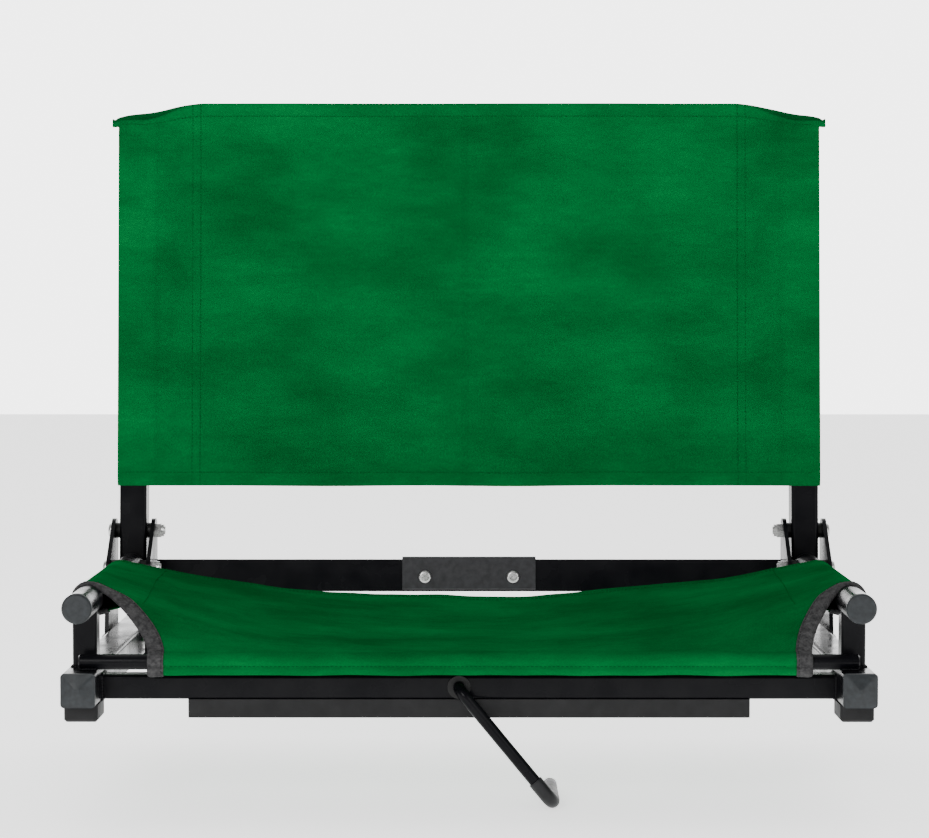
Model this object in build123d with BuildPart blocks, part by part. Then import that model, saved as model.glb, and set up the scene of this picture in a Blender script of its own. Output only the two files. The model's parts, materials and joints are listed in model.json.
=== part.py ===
from build123d import *
import math
import os

# Folding bleacher chair: a low tube frame with a canvas seat and back that stands on a
# bench plank and hooks under it. Millimetres, +Z up, +Y towards the back of the chair.
# The origin is on the plank's top, under the middle of the grip strip.
# Left and right are as seen from in front of the chair.

# Frame
side_x = 250.0
front_y = -43.0
tube_wall = 1.5
tube_corner = 2.5
foot_height = 11.0
foot_width = 22.0
foot_length = 32.0
foot_chamfer = 1.5
foot_y = (-11.0, 261.0)
base_size = 22.2
base_rear_y = 285.0
base_mid_z = foot_height + base_size / 2
base_top_z = foot_height + base_size
rail_radius = 19.05 / 2
rail_z = 75.0
rail_rear_y = 230.0
cross_size = 16.0
strip_height = 12.0
strip_half_length = 183.0
rail_half_cut = 25.0
cross_z = strip_height + cross_size / 2
rear_cross_y = 270.0
hem_rod_radius = 5.0
hem_rod_y = -20.0
hem_rod_half_length = 252.0
hem_rod_chamfer = 1.0
hem_rod_z = base_top_z + hem_rod_radius

# End plugs and caps
plug_head = 3.0
plug_pyramid = 3.5
pyramid_rim = 0.5
pyramid_tip_size = 2.8
plug_stem = 12.0
rail_cap_head = 4.0
rail_cap_radius = 9.8
rail_plug_head = 2.0
rail_plug_stem = 6.0
cap_edge_share = 0.4

# Fits: added to a hole, or left between two parts
tight_fit = 0.02
sliding_fit = 0.05
loose_fit = 0.1

# Back hinge
pivot_y = 248.0
pivot_z = 100.0
recline = 4.0
plate_thickness = 3.0
plate_gap = 13.2
plate_boss = 9.0
rail_bolt_y = 218.0
bracket_front_y = 200.0
bracket_back_y = 252.0
bracket_margin = 2.0
bracket_bolt_y = (208.0, 241.0)
stop_pin_radius = 4.0
stop_pin_z = 58.0
stop_pin_gap = 0.3
stop_pin_head = 1.5
bolt_radius = 3.0
bolt_hole_radius = 3.05
head_radius = 5.5
head_height = 3.0
head_dome_share = 0.7
nut_flats = 10.0
nut_height = 6.0
nut_collar_share = 0.46
bolt_spare = 1.0
spacer_radius = 5.7

# Back
post_size = 20.0
post_bottom = -48.0
post_top = 300.0
bar_height = 24.0
bar_thickness = 4.0
bar_top = -22.0
bar_middle = bar_top - bar_height / 2
bar_half_length = 260.0
rivet_radius = 2.0
rivet_head_radius = 3.2
rivet_head_height = 1.6
saddle_width = 100.0
saddle_height = 25.0
saddle_thickness = 2.0
saddle_screw_x = 33.0
saddle_corner = 1.5
saddle_screw_drop = 15.0
screw_radius = 2.5
screw_head_radius = 4.75
screw_head_height = 2.6
screw_head_gap = 0.3
screw_spare = 5.0
saddle_nut_flats = 8.0
saddle_nut_height = 4.5

# Hook
hook_x = -6.5
rod_radius = 3.95
hook_lean = 39.5
hook_leg = 95.5
hook_leg_y = -18.5
hook_tip_y = 43.0
hook_end_y = 26.0
hook_bend = 8.0
bush_flange = 1.2
bush_radius = 5.45
bush_flange_radius = 7.5
washer_radius = 8.0
washer_thickness = 1.2
disc_thickness = 0.8
disc_cone = 0.5
disc_count = 4
sleeve_wall = 0.8
sleeve_start = 18.0
sleeve_end_wall = 2.0
hook_nut_flats = 13.0
hook_nut_height = 8.0

# Slings
sleeve_fabric = 1.8
seat_sleeve_y = (12.0, 170.0)
seat_hem_half_width = 206.0
seat_edge_half_width = 244.0
seat_edge_z = 83.0
seat_thickness = 2.0
back_fabric = 1.2
back_half_width = 262.0
back_seam_x = 205.0
pocket_tip_x = 209.0
pocket_tip_half = 0.3
back_bottom = 33.6
back_top = 319.8

SIDES = {"left": -1, "right": 1}
BACK_FRAME = Plane(
    origin=(0, pivot_y, pivot_z),
    x_dir=(1, 0, 0),
    z_dir=(0, math.sin(math.radians(recline)), math.cos(math.radians(recline))),
)

os.makedirs("parts", exist_ok=True)


def save(piece, name):
    """Label a finished piece and write it as its own node."""
    piece.part.label = name
    export_step(piece.part, f"parts/{name}.step")


def facing_front(x, y, z):
    """A plane whose normal is -Y, with +X right and +Z up."""
    return Plane(origin=(x, y, z), x_dir=(1, 0, 0), z_dir=(0, -1, 0))


def facing_side(x, y, z, direction=1):
    """A plane whose normal is +X or -X."""
    return Plane(origin=(x, y, z), x_dir=(0, 1, 0), z_dir=(direction, 0, 0))


def back_level(z):
    """A plane across the posts of the reclined back."""
    return BACK_FRAME.offset(z)


def back_front(x, y, z):
    """A plane facing the front of the reclined back."""
    origin = BACK_FRAME.from_local_coords(Vector(x, y, z))
    return Plane(origin=origin, x_dir=BACK_FRAME.x_dir, z_dir=-BACK_FRAME.y_dir)


def add_square_tube(plane, size, length):
    """Hollow square tube with rounded corners, along the plane's normal."""
    inner = size - 2 * tube_wall
    with BuildSketch(plane) as profile:
        RectangleRounded(size, size, tube_corner)
        RectangleRounded(inner, inner, tube_corner - tube_wall, mode=Mode.SUBTRACT)
    extrude(profile.sketch, amount=length)


def add_disc(plane, radius, amount, mode=Mode.ADD):
    """Round bar along the plane's normal, or a hole when subtracted."""
    with BuildSketch(plane) as profile:
        Circle(radius)
    extrude(profile.sketch, amount=amount, mode=mode)


def add_ring(plane, radius, hole_radius, length):
    """Round tube, washer or collar along the plane's normal."""
    with BuildSketch(plane) as profile:
        Circle(radius)
        Circle(hole_radius, mode=Mode.SUBTRACT)
    extrude(profile.sketch, amount=length)


def cut_round(plane, radius, length):
    """Round hole along the plane's normal."""
    add_disc(plane, radius, length, Mode.SUBTRACT)


def add_headed_pin(plane, radius, length, pin_head_radius, pin_head_height):
    """Shank along the plane's normal, with a domed head behind the plane."""
    add_disc(plane, radius, length)
    add_disc(plane, pin_head_radius, -pin_head_height)
    rim = edges(Select.LAST).sort_by(Axis(plane.origin, plane.z_dir))[0]
    fillet(rim, radius=pin_head_height * head_dome_share)


def add_nut(plane, flats, height, hole_radius):
    """Hexagon lock nut with a round collar, along the plane's normal."""
    collar = height / 3
    with BuildSketch(plane) as profile:
        RegularPolygon(radius=flats / 2, side_count=6, major_radius=False)
        Circle(hole_radius, mode=Mode.SUBTRACT)
    extrude(profile.sketch, amount=height - collar)
    add_ring(plane.offset(height - collar), flats * nut_collar_share, hole_radius, collar)


def add_square_plug(plane, size, head, pyramid, stem):
    """Square end plug: its head and low pyramid along the normal, its stem behind."""
    with BuildSketch(plane) as head_profile:
        RectangleRounded(size, size, tube_corner)
    extrude(head_profile.sketch, amount=head)
    if pyramid:
        with BuildSketch(plane.offset(head)) as pyramid_base:
            rim = size - 2 * pyramid_rim
            RectangleRounded(rim, rim, tube_corner - pyramid_rim)
        with BuildSketch(plane.offset(head + pyramid)) as pyramid_tip:
            RectangleRounded(pyramid_tip_size, pyramid_tip_size, pyramid_tip_size / 3)
        loft([pyramid_base.sketch.face(), pyramid_tip.sketch.face()])
    inner = size - 2 * tube_wall
    with BuildSketch(plane) as stem_profile:
        RectangleRounded(inner, inner, tube_corner - tube_wall)
    extrude(stem_profile.sketch, amount=-stem)


def add_round_plug(plane, cap_radius, head, stem):
    """Round end cap: its head along the normal, its stem behind."""
    add_disc(plane, cap_radius, head)
    rim = edges(Select.LAST).sort_by(Axis(plane.origin, plane.z_dir))[-1]
    fillet(rim, radius=head * cap_edge_share)
    add_disc(plane, rail_radius - tube_wall, -stem)


def stop_pin_y():
    """The stop pin stands just in front of the reclined post's lower end."""
    drop = pivot_z - stop_pin_z
    tilt = math.radians(recline)
    post_front = pivot_y - post_size / 2 / math.cos(tilt) - drop * math.tan(tilt)
    return post_front - (stop_pin_radius + stop_pin_gap) / math.cos(tilt)


# ---- Side frames ----

tube_start = front_y + plug_head + plug_pyramid
tube_end = base_rear_y - plug_head - plug_pyramid
rail_start = front_y + rail_cap_head
rail_end = rail_rear_y - rail_plug_head

for side, sign in SIDES.items():
    x = sign * side_x

    with BuildPart() as base_tube:
        add_square_tube(facing_front(x, tube_end, base_mid_z), base_size, tube_end - tube_start)
        for bolt_y in bracket_bolt_y:
            cut_round(facing_side(x - base_size, bolt_y, base_mid_z), bolt_hole_radius, 2 * base_size)
        for pad_y in foot_y:
            cut_round(Plane.XY.move(Location((x, pad_y, 0))), rivet_radius + loose_fit, base_mid_z)
    save(base_tube, f"base_tube_{side}")

    with BuildPart() as base_plug_front:
        plane = facing_front(x, tube_start, base_mid_z)
        add_square_plug(plane, base_size, plug_head, plug_pyramid, plug_stem)
    save(base_plug_front, f"base_plug_front_{side}")

    with BuildPart() as base_plug_rear:
        plane = Plane(origin=(x, tube_end, base_mid_z), x_dir=(1, 0, 0), z_dir=(0, 1, 0))
        add_square_plug(plane, base_size, plug_head, plug_pyramid, plug_stem)
    save(base_plug_rear, f"base_plug_rear_{side}")

    for place, pad_y in zip(("front", "rear"), foot_y):
        with BuildPart() as foot:
            with BuildSketch(Plane.XY):
                with Locations((x, pad_y)):
                    RectangleRounded(foot_width, foot_length, tube_corner)
            extrude(amount=foot_height)
            chamfer(faces().sort_by(Axis.Z)[0].outer_wire().edges(), length=foot_chamfer)
            pad_plane = Plane.XY.move(Location((x, pad_y, 0)))
            cut_round(pad_plane, rivet_radius + loose_fit, foot_height)
            cut_round(pad_plane, screw_head_radius, foot_height / 2)
        save(foot, f"foot_{place}_{side}")

    with BuildPart() as front_post:
        add_square_tube(Plane.XY.move(Location((x, 0, base_top_z))), cross_size, rail_z - base_top_z)
        cut_round(facing_front(x, cross_size, rail_z), rail_radius, 2 * cross_size)
    save(front_post, f"front_post_{side}")

    with BuildPart() as side_rail:
        rail_plane = facing_front(x, rail_end, rail_z)
        add_ring(rail_plane, rail_radius, rail_radius - tube_wall, rail_end - rail_start)
        cut_round(facing_side(x - rail_half_cut, rail_bolt_y, rail_z), bolt_hole_radius, 2 * rail_half_cut)
    save(side_rail, f"side_rail_{side}")

    with BuildPart() as rail_cap:
        add_round_plug(facing_front(x, rail_start, rail_z), rail_cap_radius, rail_cap_head, plug_stem)
    save(rail_cap, f"rail_cap_{side}")

    with BuildPart() as rail_plug:
        plane = Plane(origin=(x, rail_end, rail_z), x_dir=(1, 0, 0), z_dir=(0, 1, 0))
        add_round_plug(plane, rail_radius, rail_plug_head, rail_plug_stem)
    save(rail_plug, f"rail_plug_{side}")

    for layer, offset_x in (("outer", plate_gap), ("inner", -plate_gap - plate_thickness)):
        plate_x = x + offset_x if sign > 0 else x - offset_x - plate_thickness
        with BuildPart() as bracket:
            with BuildSketch(facing_side(plate_x, 0, 0)):
                with Locations((rail_bolt_y, rail_z), (pivot_y, pivot_z)):
                    Circle(plate_boss)
                with Locations(((bracket_front_y + bracket_back_y) / 2, base_mid_z)):
                    Rectangle(bracket_back_y - bracket_front_y, base_size - 2 * bracket_margin)
                make_hull()
                with Locations((rail_bolt_y, rail_z), (pivot_y, pivot_z), (stop_pin_y(), stop_pin_z)):
                    Circle(bolt_hole_radius, mode=Mode.SUBTRACT)
                with Locations(*[(bolt_y, base_mid_z) for bolt_y in bracket_bolt_y]):
                    Circle(bolt_hole_radius, mode=Mode.SUBTRACT)
            extrude(amount=plate_thickness)
        save(bracket, f"bracket_{layer}_{side}")

# ---- Cross members ----

inner_half = side_x - base_size / 2

with BuildPart() as front_crossbar:
    add_square_tube(facing_side(-inner_half, 0, cross_z), cross_size, 2 * inner_half)
    cut_round(facing_front(hook_x, cross_size, cross_z), bush_radius, 2 * cross_size)
save(front_crossbar, "front_crossbar")

with BuildPart() as rear_crossbar:
    add_square_tube(facing_side(-inner_half, rear_cross_y, base_mid_z), cross_size, 2 * inner_half)
save(rear_crossbar, "rear_crossbar")

with BuildPart() as hem_rod:
    with BuildSketch(facing_side(-hem_rod_half_length, hem_rod_y, hem_rod_z)):
        Circle(hem_rod_radius)
    extrude(amount=2 * hem_rod_half_length)
    chamfer(edges().filter_by(GeomType.CIRCLE), length=hem_rod_chamfer)
save(hem_rod, "hem_rod")

with BuildPart() as grip_strip:
    with BuildSketch(Plane.XY):
        Rectangle(2 * strip_half_length, cross_size)
    extrude(amount=strip_height)
    fillet(edges().filter_by(Axis.Z), radius=tube_corner)
save(grip_strip, "grip_strip")

# ---- Fasteners of the side frames ----

with BuildPart() as foot_screws:
    for sign in SIDES.values():
        for pad_y in foot_y:
            plane = Plane.XY.move(Location((sign * side_x, pad_y, foot_height / 2)))
            pan_radius = screw_head_radius - screw_head_gap
            add_headed_pin(plane, rivet_radius, foot_height, pan_radius, screw_head_height)
save(foot_screws, "foot_screws")

outer_face = plate_gap + plate_thickness
bolt_length = 2 * outer_face + nut_height + bolt_spare
bracket_points = [(bolt_y, base_mid_z) for bolt_y in bracket_bolt_y]
bolt_groups = {
    "bracket": bracket_points,
    "rail": [(rail_bolt_y, rail_z)],
    "pivot": [(pivot_y, pivot_z)],
}

for group, points in bolt_groups.items():
    with BuildPart() as bolts:
        for sign in SIDES.values():
            for bolt_y, bolt_z in points:
                plane = facing_side(sign * (side_x + outer_face), bolt_y, bolt_z, -sign)
                add_headed_pin(plane, bolt_radius, bolt_length, head_radius, head_height)
    save(bolts, f"{group}_bolts")

    with BuildPart() as nuts:
        for sign in SIDES.values():
            for bolt_y, bolt_z in points:
                plane = facing_side(sign * (side_x - outer_face), bolt_y, bolt_z, -sign)
                add_nut(plane, nut_flats, nut_height, bolt_radius)
    save(nuts, f"{group}_nuts")

with BuildPart() as bracket_washers:
    for sign in SIDES.values():
        for start in (-plate_gap, base_size / 2):
            for bolt_y, bolt_z in bracket_points:
                plane = facing_side(sign * side_x + start, bolt_y, bolt_z)
                thickness = plate_gap - base_size / 2
                add_ring(plane, head_radius, bolt_hole_radius, thickness)
save(bracket_washers, "bracket_washers")

with BuildPart() as rail_spacers:
    for sign in SIDES.values():
        plane = facing_side(sign * side_x - plate_gap, rail_bolt_y, rail_z)
        add_ring(plane, spacer_radius, bolt_hole_radius, 2 * plate_gap)
    for sign in SIDES.values():
        cut_round(facing_front(sign * side_x, rail_end, rail_z), rail_radius + tight_fit, rail_end)
save(rail_spacers, "rail_spacers")

with BuildPart() as pivot_spacers:
    for sign in SIDES.values():
        for start in (-plate_gap, post_size / 2 + loose_fit):
            plane = facing_side(sign * side_x + start, pivot_y, pivot_z)
            length = plate_gap - post_size / 2 - loose_fit
            add_ring(plane, spacer_radius, bolt_hole_radius, length)
save(pivot_spacers, "pivot_spacers")

with BuildPart() as stop_pins:
    for sign in SIDES.values():
        plane = facing_side(sign * side_x - plate_gap, stop_pin_y(), stop_pin_z)
        with BuildSketch(plane):
            Circle(stop_pin_radius)
        extrude(amount=2 * plate_gap)
        with BuildSketch(plane.offset(-plate_thickness)):
            Circle(bolt_radius)
        extrude(amount=2 * outer_face)
        for start in (-plate_thickness - stop_pin_head, 2 * plate_gap + plate_thickness):
            with BuildSketch(plane.offset(start)):
                Circle(stop_pin_radius)
            extrude(amount=stop_pin_head)
save(stop_pins, "stop_pins")

# ---- Hook under the plank ----

with BuildPart() as hook_bush:
    with BuildSketch(facing_front(hook_x, cross_size / 2, cross_z)):
        Circle(bush_radius)
        Circle(rod_radius + sliding_fit, mode=Mode.SUBTRACT)
    extrude(amount=cross_size)
    flange_plane = facing_front(hook_x, -cross_size / 2, cross_z)
    add_ring(flange_plane, bush_flange_radius, rod_radius + sliding_fit, bush_flange)
save(hook_bush, "hook_bush")

lean = math.radians(hook_lean)
leg_dir = Vector(math.sin(lean), 0, -math.cos(lean))
hook_plane = Plane(
    origin=(hook_x, 0, cross_z),
    x_dir=(0, 1, 0),
    z_dir=Vector(0, 1, 0).cross(leg_dir),
)

with BuildPart() as hook_rod:
    with BuildLine(hook_plane) as rod_route:
        FilletPolyline(
            (hook_end_y, 0),
            (hook_leg_y, 0),
            (hook_leg_y, hook_leg),
            (hook_tip_y, hook_leg),
            radius=hook_bend,
        )
    with BuildSketch(Plane(origin=rod_route.line @ 0, z_dir=rod_route.line % 0)):
        Circle(rod_radius)
    sweep()
save(hook_rod, "hook_rod")

with BuildPart() as hook_sleeve:
    with BuildLine(hook_plane) as sleeve_route:
        FilletPolyline(
            (hook_leg_y, hook_leg - sleeve_start),
            (hook_leg_y, hook_leg),
            (hook_tip_y, hook_leg),
            radius=hook_bend,
        )
    with BuildSketch(Plane(origin=sleeve_route.line @ 0, z_dir=sleeve_route.line % 0)):
        Circle(rod_radius + sleeve_wall)
        Circle(rod_radius + tight_fit, mode=Mode.SUBTRACT)
    sweep()
    with BuildSketch(Plane(origin=sleeve_route.line @ 1, z_dir=sleeve_route.line % 1)):
        Circle(rod_radius + sleeve_wall)
    extrude(amount=sleeve_end_wall)
save(hook_sleeve, "hook_sleeve")

washer_y = cross_size / 2 + loose_fit
disc_y = washer_y + washer_thickness
disc_step = disc_thickness + disc_cone
disc_end = disc_y + disc_count * disc_step

with BuildPart() as hook_washers:
    for start in (washer_y, disc_end):
        plane = facing_front(hook_x, start + washer_thickness, cross_z)
        add_ring(plane, washer_radius, rod_radius + sliding_fit, washer_thickness)
save(hook_washers, "hook_washers")

with BuildPart() as hook_disc_springs:
    for index in range(disc_count):
        inner_y = 0 if index % 2 == 0 else disc_cone
        outer_y = disc_cone - inner_y
        bore = rod_radius + sliding_fit
        with BuildSketch(Plane(origin=(hook_x, disc_y + index * disc_step, cross_z))):
            with BuildLine():
                Polyline(
                    (bore, inner_y),
                    (washer_radius, outer_y),
                    (washer_radius, outer_y + disc_thickness),
                    (bore, inner_y + disc_thickness),
                    close=True,
                )
            make_face()
        revolve(axis=Axis((hook_x, 0, cross_z), (0, 1, 0)))
save(hook_disc_springs, "hook_disc_springs")

with BuildPart() as hook_nut:
    nut_start = disc_end + washer_thickness
    plane = Plane(origin=(hook_x, nut_start, cross_z), x_dir=(1, 0, 0), z_dir=(0, 1, 0))
    add_nut(plane, hook_nut_flats, hook_nut_height, rod_radius + tight_fit)
save(hook_nut, "hook_nut")

# ---- Reclined back ----

for side, sign in SIDES.items():
    x = sign * side_x

    with BuildPart() as back_post:
        origin = BACK_FRAME.from_local_coords(Vector(x, 0, post_bottom + rail_plug_head))
        plane = Plane(origin=origin, x_dir=BACK_FRAME.x_dir, z_dir=BACK_FRAME.z_dir)
        length = post_top - plug_head - post_bottom - rail_plug_head
        add_square_tube(plane, post_size, length)
        cut_round(facing_side(x - post_size, pivot_y, pivot_z), bolt_hole_radius, 2 * post_size)
        cut_round(back_front(x, post_size, bar_middle), rivet_radius, 2 * post_size)
    save(back_post, f"back_post_{side}")

    with BuildPart() as post_cap:
        origin = BACK_FRAME.from_local_coords(Vector(x, 0, post_top - plug_head))
        plane = Plane(origin=origin, x_dir=BACK_FRAME.x_dir, z_dir=BACK_FRAME.z_dir)
        add_square_plug(plane, post_size, plug_head, 0, plug_stem)
    save(post_cap, f"post_cap_{side}")

    with BuildPart() as post_plug:
        origin = BACK_FRAME.from_local_coords(Vector(x, 0, post_bottom + rail_plug_head))
        plane = Plane(origin=origin, x_dir=BACK_FRAME.x_dir, z_dir=-BACK_FRAME.z_dir)
        add_square_plug(plane, post_size, rail_plug_head, 0, rail_plug_stem)
    save(post_plug, f"post_plug_{side}")

screw_z = bar_top + saddle_thickness - saddle_screw_drop

with BuildPart() as back_crossbar:
    with BuildSketch(back_front(0, post_size / 2, bar_middle)):
        RectangleRounded(2 * bar_half_length, bar_height, tube_corner)
        with Locations((-side_x, 0), (side_x, 0)):
            Circle(rivet_radius, mode=Mode.SUBTRACT)
        with Locations((-saddle_screw_x, screw_z - bar_middle), (saddle_screw_x, screw_z - bar_middle)):
            Circle(screw_radius, mode=Mode.SUBTRACT)
    extrude(amount=-bar_thickness)
save(back_crossbar, "back_crossbar")

with BuildPart() as crossbar_rivets:
    for sign in SIDES.values():
        plane = back_front(sign * side_x, -post_size / 2, bar_middle)
        plane = Plane(origin=plane.origin, x_dir=plane.x_dir, z_dir=-plane.z_dir)
        length = post_size + bar_thickness
        add_headed_pin(plane, rivet_radius, length, rivet_head_radius, rivet_head_height)
        with BuildSketch(plane.offset(length)):
            Circle(rivet_head_radius)
        extrude(amount=rivet_head_height)
save(crossbar_rivets, "crossbar_rivets")

with BuildPart() as saddle_plate:
    side_origin = BACK_FRAME.from_local_coords(Vector(-saddle_width / 2, post_size / 2, bar_top))
    saddle_plane = Plane(origin=side_origin, x_dir=BACK_FRAME.y_dir, z_dir=BACK_FRAME.x_dir)
    channel_width = bar_thickness + 2 * saddle_thickness
    with BuildSketch(saddle_plane):
        with Locations((bar_thickness / 2, saddle_thickness - saddle_height / 2)):
            RectangleRounded(channel_width, saddle_height, saddle_corner)
        with Locations((bar_thickness / 2, -saddle_height / 2)):
            Rectangle(bar_thickness, saddle_height, mode=Mode.SUBTRACT)
    extrude(amount=saddle_width)
    for sign in SIDES.values():
        cut_round(back_front(sign * saddle_screw_x, post_size, screw_z), screw_radius, 2 * post_size)
save(saddle_plate, "saddle_plate")

with BuildPart() as saddle_screws:
    for sign in SIDES.values():
        start = back_front(sign * saddle_screw_x, post_size / 2 - saddle_thickness, screw_z)
        plane = Plane(origin=start.origin, x_dir=start.x_dir, z_dir=-start.z_dir)
        length = bar_thickness + 2 * saddle_thickness + screw_spare
        add_headed_pin(plane, screw_radius, length, screw_head_radius, screw_head_height)
save(saddle_screws, "saddle_screws")

with BuildPart() as saddle_nuts:
    for sign in SIDES.values():
        start_y = post_size / 2 + bar_thickness + saddle_thickness
        start = back_front(sign * saddle_screw_x, start_y, screw_z)
        plane = Plane(origin=start.origin, x_dir=start.x_dir, z_dir=-start.z_dir)
        add_nut(plane, saddle_nut_flats, saddle_nut_height, screw_radius)
save(saddle_nuts, "saddle_nuts")

# ---- Slings ----

# Each seat station is (distance back, half width, edge height, middle height).
seat_stations = (
    (hem_rod_y, seat_hem_half_width, hem_rod_z + hem_rod_radius, hem_rod_z + hem_rod_radius - 0.5),
    (seat_sleeve_y[0], seat_edge_half_width, seat_edge_z, 45.0),
    (60.0, seat_edge_half_width, seat_edge_z, 50.0),
    (115.0, seat_edge_half_width, seat_edge_z, 54.0),
    (seat_sleeve_y[1], seat_edge_half_width, seat_edge_z, 57.0),
)

with BuildPart() as seat_sling:
    for station_y, half_width, edge_z, middle_z in seat_stations:
        with BuildSketch(facing_front(0, station_y, 0)):
            with BuildLine():
                ThreePointArc((-half_width, edge_z), (0, middle_z), (half_width, edge_z))
                Line((half_width, edge_z), (half_width, edge_z + seat_thickness))
                ThreePointArc(
                    (half_width, edge_z + seat_thickness),
                    (0, middle_z + seat_thickness),
                    (-half_width, edge_z + seat_thickness),
                )
                Line((-half_width, edge_z + seat_thickness), (-half_width, edge_z))
            make_face()
    loft(ruled=True)
    sleeve_length = seat_sleeve_y[1] - seat_sleeve_y[0]
    for sign in SIDES.values():
        plane = facing_front(sign * side_x, seat_sleeve_y[1], rail_z)
        with BuildSketch(plane):
            Circle(rail_radius + sleeve_fabric)
        extrude(amount=sleeve_length)
    with BuildSketch(facing_side(-seat_hem_half_width, hem_rod_y, hem_rod_z)):
        Circle(hem_rod_radius + sleeve_fabric)
    extrude(amount=2 * seat_hem_half_width)
    for sign in SIDES.values():
        plane = facing_front(sign * side_x, base_rear_y, rail_z)
        cut_round(plane, rail_radius + sliding_fit, 2 * base_rear_y)
    cut_round(facing_side(-side_x, hem_rod_y, hem_rod_z), hem_rod_radius + sliding_fit, 2 * side_x)
save(seat_sling, "seat_sling")

post_half = post_size / 2
shell = post_half + back_fabric
pocket_x = side_x + post_half + loose_fit

with BuildPart() as back_sling:
    with BuildSketch(back_level(back_bottom)):
        with BuildLine():
            Polyline(
                (-back_half_width, -shell),
                (-side_x + post_half, -shell),
                (-back_seam_x, -back_fabric),
                (back_seam_x, -back_fabric),
                (side_x - post_half, -shell),
                (back_half_width, -shell),
                (back_half_width, shell),
                (side_x - post_half, shell),
                (back_seam_x, back_fabric),
                (-back_seam_x, back_fabric),
                (-side_x + post_half, shell),
                (-back_half_width, shell),
                close=True,
            )
        make_face()
        for sign in SIDES.values():
            with BuildLine():
                Polyline(
                    (sign * pocket_x, -post_half),
                    (sign * (side_x - post_half), -post_half),
                    (sign * pocket_tip_x, -pocket_tip_half),
                    (sign * pocket_tip_x, pocket_tip_half),
                    (sign * (side_x - post_half), post_half),
                    (sign * pocket_x, post_half),
                    close=True,
                )
            make_face(mode=Mode.SUBTRACT)
    extrude(amount=back_top - back_bottom)
save(back_sling, "back_sling")
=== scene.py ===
import json
import math

import bmesh
import bpy
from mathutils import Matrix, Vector, noise


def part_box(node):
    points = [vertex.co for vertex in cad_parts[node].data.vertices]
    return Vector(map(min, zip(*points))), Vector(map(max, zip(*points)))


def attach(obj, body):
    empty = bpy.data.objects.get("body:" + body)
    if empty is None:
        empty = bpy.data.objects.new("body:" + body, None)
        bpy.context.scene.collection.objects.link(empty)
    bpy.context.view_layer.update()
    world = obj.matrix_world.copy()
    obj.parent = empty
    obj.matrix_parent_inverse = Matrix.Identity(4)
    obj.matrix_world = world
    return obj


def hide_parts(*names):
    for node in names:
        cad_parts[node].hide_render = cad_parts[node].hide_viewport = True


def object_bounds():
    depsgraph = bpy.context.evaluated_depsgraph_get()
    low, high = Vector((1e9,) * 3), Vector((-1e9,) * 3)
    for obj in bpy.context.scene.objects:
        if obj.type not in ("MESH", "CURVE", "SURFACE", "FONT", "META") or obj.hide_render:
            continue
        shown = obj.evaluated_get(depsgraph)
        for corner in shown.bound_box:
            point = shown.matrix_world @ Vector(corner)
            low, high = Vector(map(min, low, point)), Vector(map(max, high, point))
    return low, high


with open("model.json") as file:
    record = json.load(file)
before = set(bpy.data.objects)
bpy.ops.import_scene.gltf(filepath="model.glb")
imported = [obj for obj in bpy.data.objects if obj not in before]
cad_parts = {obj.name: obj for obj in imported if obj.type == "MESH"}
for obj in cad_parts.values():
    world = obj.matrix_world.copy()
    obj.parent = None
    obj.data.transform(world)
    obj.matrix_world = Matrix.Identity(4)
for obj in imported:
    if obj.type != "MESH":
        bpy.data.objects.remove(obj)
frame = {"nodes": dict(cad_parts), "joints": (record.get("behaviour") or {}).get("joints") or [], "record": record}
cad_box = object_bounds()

# Metres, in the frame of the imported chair: +X right, +Y to the back, +Z up.
MM = 0.001
RECLINE = math.radians(4.0)
HINGE = Vector(next(j for j in frame["joints"] if j["name"] == "back_fold")["pos_m"])

FABRIC = 1.0 * MM
SAME_POINT = 0.001 * MM


# ---- Small helpers ----

def smooth(t):
    """Goes from 0 to 1 with level ends."""
    t = min(max(t, 0.0), 1.0)
    return t * t * (3 - 2 * t)


def mix(a, b, t):
    """The value this share of the way from a to b."""
    return a + (b - a) * t


def ripple(x, y, size, seed):
    """Smooth noise from about -1 to 1, with features of the given size."""
    return noise.noise(Vector((x / size, y / size, seed)))


def box_span(node, axis):
    """A CAD node's low and high limit along an axis (0 to 2), to the nearest micrometre."""
    low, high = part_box(node)
    return round(low[axis], 6), round(high[axis], 6)


def box_middle(node):
    """The x, y and z of the middle of a CAD node's box."""
    return [sum(box_span(node, axis)) / 2 for axis in range(3)]


def to_back(x, y, z):
    """A point given from the hinge along the reclined back's own axes."""
    across = Vector((0, math.cos(RECLINE), -math.sin(RECLINE)))
    up = Vector((0, math.sin(RECLINE), math.cos(RECLINE)))
    return HINGE + Vector((x, 0, 0)) + across * y + up * z


def mesh_piece(name, verts, faces, uvs=None):
    """A smooth-shaded mesh object; uvs are one pair for each vertex, in metres of cloth."""
    mesh = bpy.data.meshes.new(name)
    mesh.from_pydata([tuple(v) for v in verts], [], faces)
    if uvs is not None:
        layer = mesh.uv_layers.new(name="cloth")
        for loop in mesh.loops:
            layer.data[loop.index].uv = uvs[loop.vertex_index]
    mesh.polygons.foreach_set("use_smooth", [True] * len(mesh.polygons))
    piece = bpy.data.objects.new(name, mesh)
    bpy.context.scene.collection.objects.link(piece)
    return piece


def finish_piece(piece, body, material):
    """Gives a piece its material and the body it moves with."""
    piece.data.materials.append(material)
    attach(piece, body)
    return piece


def grid_faces(rows, cols, start=0, closed=False):
    """Quads of a grid of rows by cols points, stored row by row."""
    faces = []
    for r in range(rows - 1):
        for c in range(cols if closed else cols - 1):
            d = (c + 1) % cols
            a = start + r * cols
            b = a + cols
            faces.append((a + c, a + d, b + d, b + c))
    return faces


# ---- Materials ----

# The limits that nearly all of a noise texture's values lie between.
NOISE_LOW = 0.3
NOISE_HIGH = 0.7


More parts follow.
